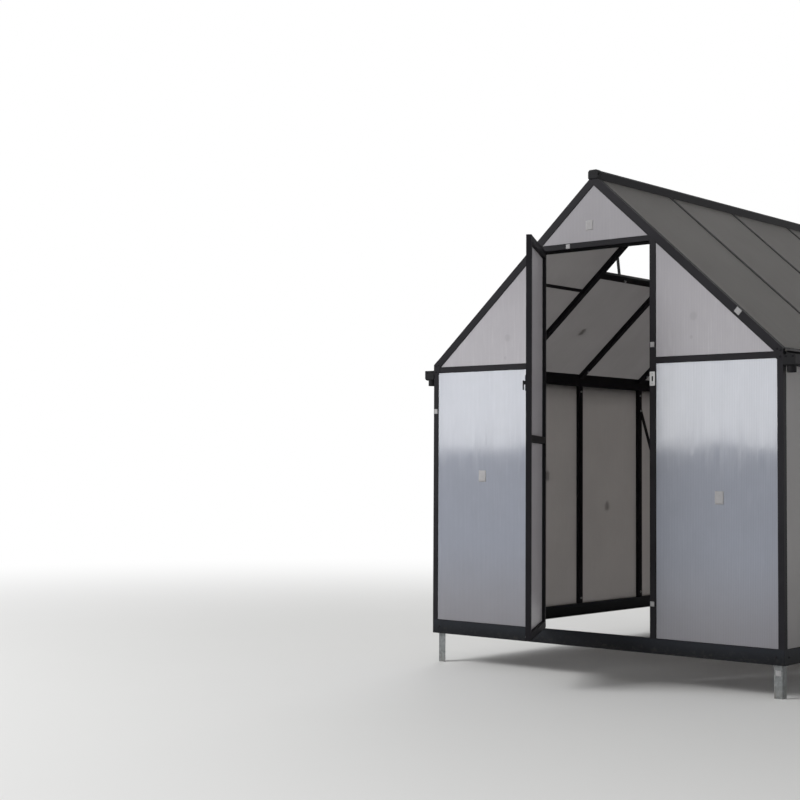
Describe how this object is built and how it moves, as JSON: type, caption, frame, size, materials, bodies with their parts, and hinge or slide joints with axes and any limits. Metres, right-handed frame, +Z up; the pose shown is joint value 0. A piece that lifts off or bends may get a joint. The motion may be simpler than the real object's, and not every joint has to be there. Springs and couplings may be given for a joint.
{
  "type": "polycarbonate greenhouse",
  "caption": "Pitched-roof hobby greenhouse: dark aluminium glazing bars, frosted twin-wall panels, hinged door, roof vent, gutters, raised base on corner legs",
  "frame": {"origin": "middle of the box round the whole object, on the ground under its legs, with the door standing open as in the picture", "axes": "+Z up; the front gable with the door faces -Y; the ridge runs along Y; +X is the viewer's right when facing the door"},
  "size_m": [2.012, 3.0534, 2.3409],
  "materials": {
    "frame": "powder-coated aluminium, dark grey, satin",
    "base": "painted folded steel, dark blue grey",
    "galvanised": "galvanised steel angle",
    "moulding": "dark moulded plastic",
    "panel": "frosted twin-wall polycarbonate with a glossy skin and vertical flutes",
    "fitting": "black painted latch and stay",
    "strike": "white painted strike plate"
  },
  "bodies": {
    "house": {"base_ends": "base", "base_sides": "base", "corner_legs": "galvanised", "corner_plates": "frame", "corner_posts": "frame", "door_header": "frame", "eave_gutter_left": "frame", "eave_gutter_right": "frame", "front_crossbars": "frame", "front_rakes": "frame", "gutter_outlets": "moulding", "jamb_hinges": "frame", "jamb_left": "frame", "jamb_right": "frame", "purlins_left": "frame", "purlins_right": "frame", "rafters_left": "frame", "rafters_right": "frame", "rear_crossbars": "frame", "rear_rakes": "frame", "rear_studs": "frame", "ridge_beam": "frame", "ridge_caps": "moulding", "strike_plate": "strike", "vent_frame": "frame", "vent_sill": "frame", "vent_stay": "fitting", "wall_studs_left": "frame", "wall_studs_right": "frame", "wind_braces": "frame", "front_gable_panels": "panel", "front_panels": "panel", "rear_gable_panels": "panel", "rear_panels": "panel", "roof_panels_left": "panel", "roof_panels_right": "panel", "vent_panel": "panel", "wall_panels_left": "panel", "wall_panels_right": "panel"},
    "door": {"door_frame": "frame", "door_panels": "panel", "door_latch": "fitting", "door_hinges": "frame"}
  },
  "joints": [
    {"name": "door_hinge", "type": "hinge", "parent": "house", "child": "door", "pos_m": [-0.297, -1.01327, 0.208], "axis": [0, 0, -1], "range_deg": [-61, 55]}
  ]
}
